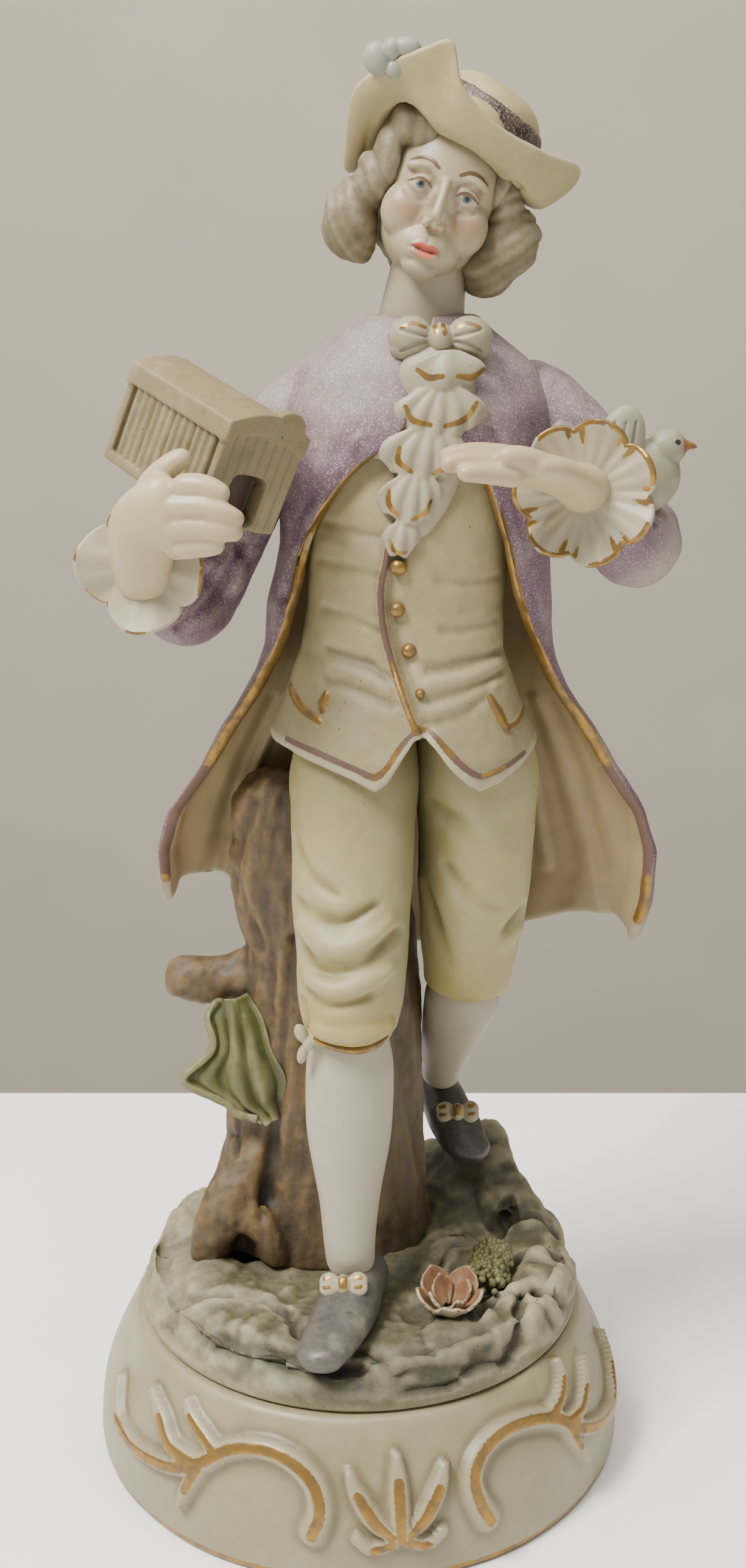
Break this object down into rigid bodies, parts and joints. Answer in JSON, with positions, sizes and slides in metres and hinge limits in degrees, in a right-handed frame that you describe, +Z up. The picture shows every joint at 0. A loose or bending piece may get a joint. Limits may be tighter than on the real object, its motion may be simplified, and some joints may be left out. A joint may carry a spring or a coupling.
{
  "type": "porcelain figurine",
  "caption": "Bisque porcelain figurine of a young gallant in a lilac coat and straw hat, holding a birdhouse and a dove, before a tree trunk on a rocky mound and round scrolled plinth.",
  "frame": {"origin": "centre of the plinth's flat underside", "axes": "+Z up; the figure faces -Y; +X is the figure's left, the viewer's right"},
  "size_m": [0.1104, 0.107, 0.2656],
  "materials": {
    "satin_base": "satin bisque, off-white with a grey-green wash",
    "rock_bisque": "matte bisque, grey-green airbrushed rock",
    "bark_bisque": "matte bisque, brushed brown bark",
    "leaf_green": "matte bisque, olive green wash",
    "peach_petal": "matte bisque, peach petals with whitish outsides",
    "grey_shoe": "matte bisque, mauve-grey",
    "white_bisque": "smooth matte white bisque",
    "yellow_breeches": "matte bisque, pale yellow-green wash",
    "cream_waistcoat": "matte bisque, cream with grey-green folds",
    "worn_gilding": "worn hand-painted gilding",
    "lilac_bisque": "matte bisque, stippled lilac",
    "ivory_skin": "smooth matte bisque, ivory",
    "taupe_hair": "matte bisque, taupe wash over white",
    "straw_hat": "matte bisque, pale straw yellow",
    "brown_band": "slightly glossy brown",
    "blue_ribbon": "matte bisque, pale blue",
    "beige_birdhouse": "matte bisque, beige-taupe",
    "grey_dove": "matte bisque, grey-white"
  },
  "bodies": {
    "root": {"birdhouse": "beige_birdhouse", "coat_body": "lilac_bisque", "dove_body": "grey_dove", "dove_tail": "grey_dove", "dove_wing": "grey_dove", "flower": "peach_petal", "hair_front": "taupe_hair", "hat_band": "brown_band", "hat_bow": "blue_ribbon", "hat_brim": "straw_hat", "hat_crown": "straw_hat", "head": "ivory_skin", "jabot": "white_bisque", "knee_bow": "white_bisque", "left_breeches_leg": "yellow_breeches", "left_coat_tail": "lilac_bisque", "left_cuff": "white_bisque", "left_hair_roll": "taupe_hair", "left_hand": "ivory_skin", "left_shoe": "grey_shoe", "left_shoe_buckle": "white_bisque", "left_sleeve": "lilac_bisque", "left_stocking": "white_bisque", "moss_tuft": "leaf_green", "neck_bow": "white_bisque", "oak_leaf": "leaf_green", "plinth": "satin_base", "right_breeches_leg": "yellow_breeches", "right_coat_tail": "lilac_bisque", "right_cuff": "white_bisque", "right_hair_roll": "taupe_hair", "right_hand": "ivory_skin", "right_shoe": "grey_shoe", "right_shoe_buckle": "white_bisque", "right_sleeve": "lilac_bisque", "right_stocking": "white_bisque", "rock_mound": "rock_bisque", "tree_trunk": "bark_bisque", "trunk_branch": "bark_bisque", "trunk_root": "bark_bisque", "waistcoat": "cream_waistcoat", "waistcoat_button_1": "worn_gilding", "waistcoat_button_2": "worn_gilding", "waistcoat_button_3": "worn_gilding", "waistcoat_button_4": "worn_gilding"}
  },
  "joints": []
}
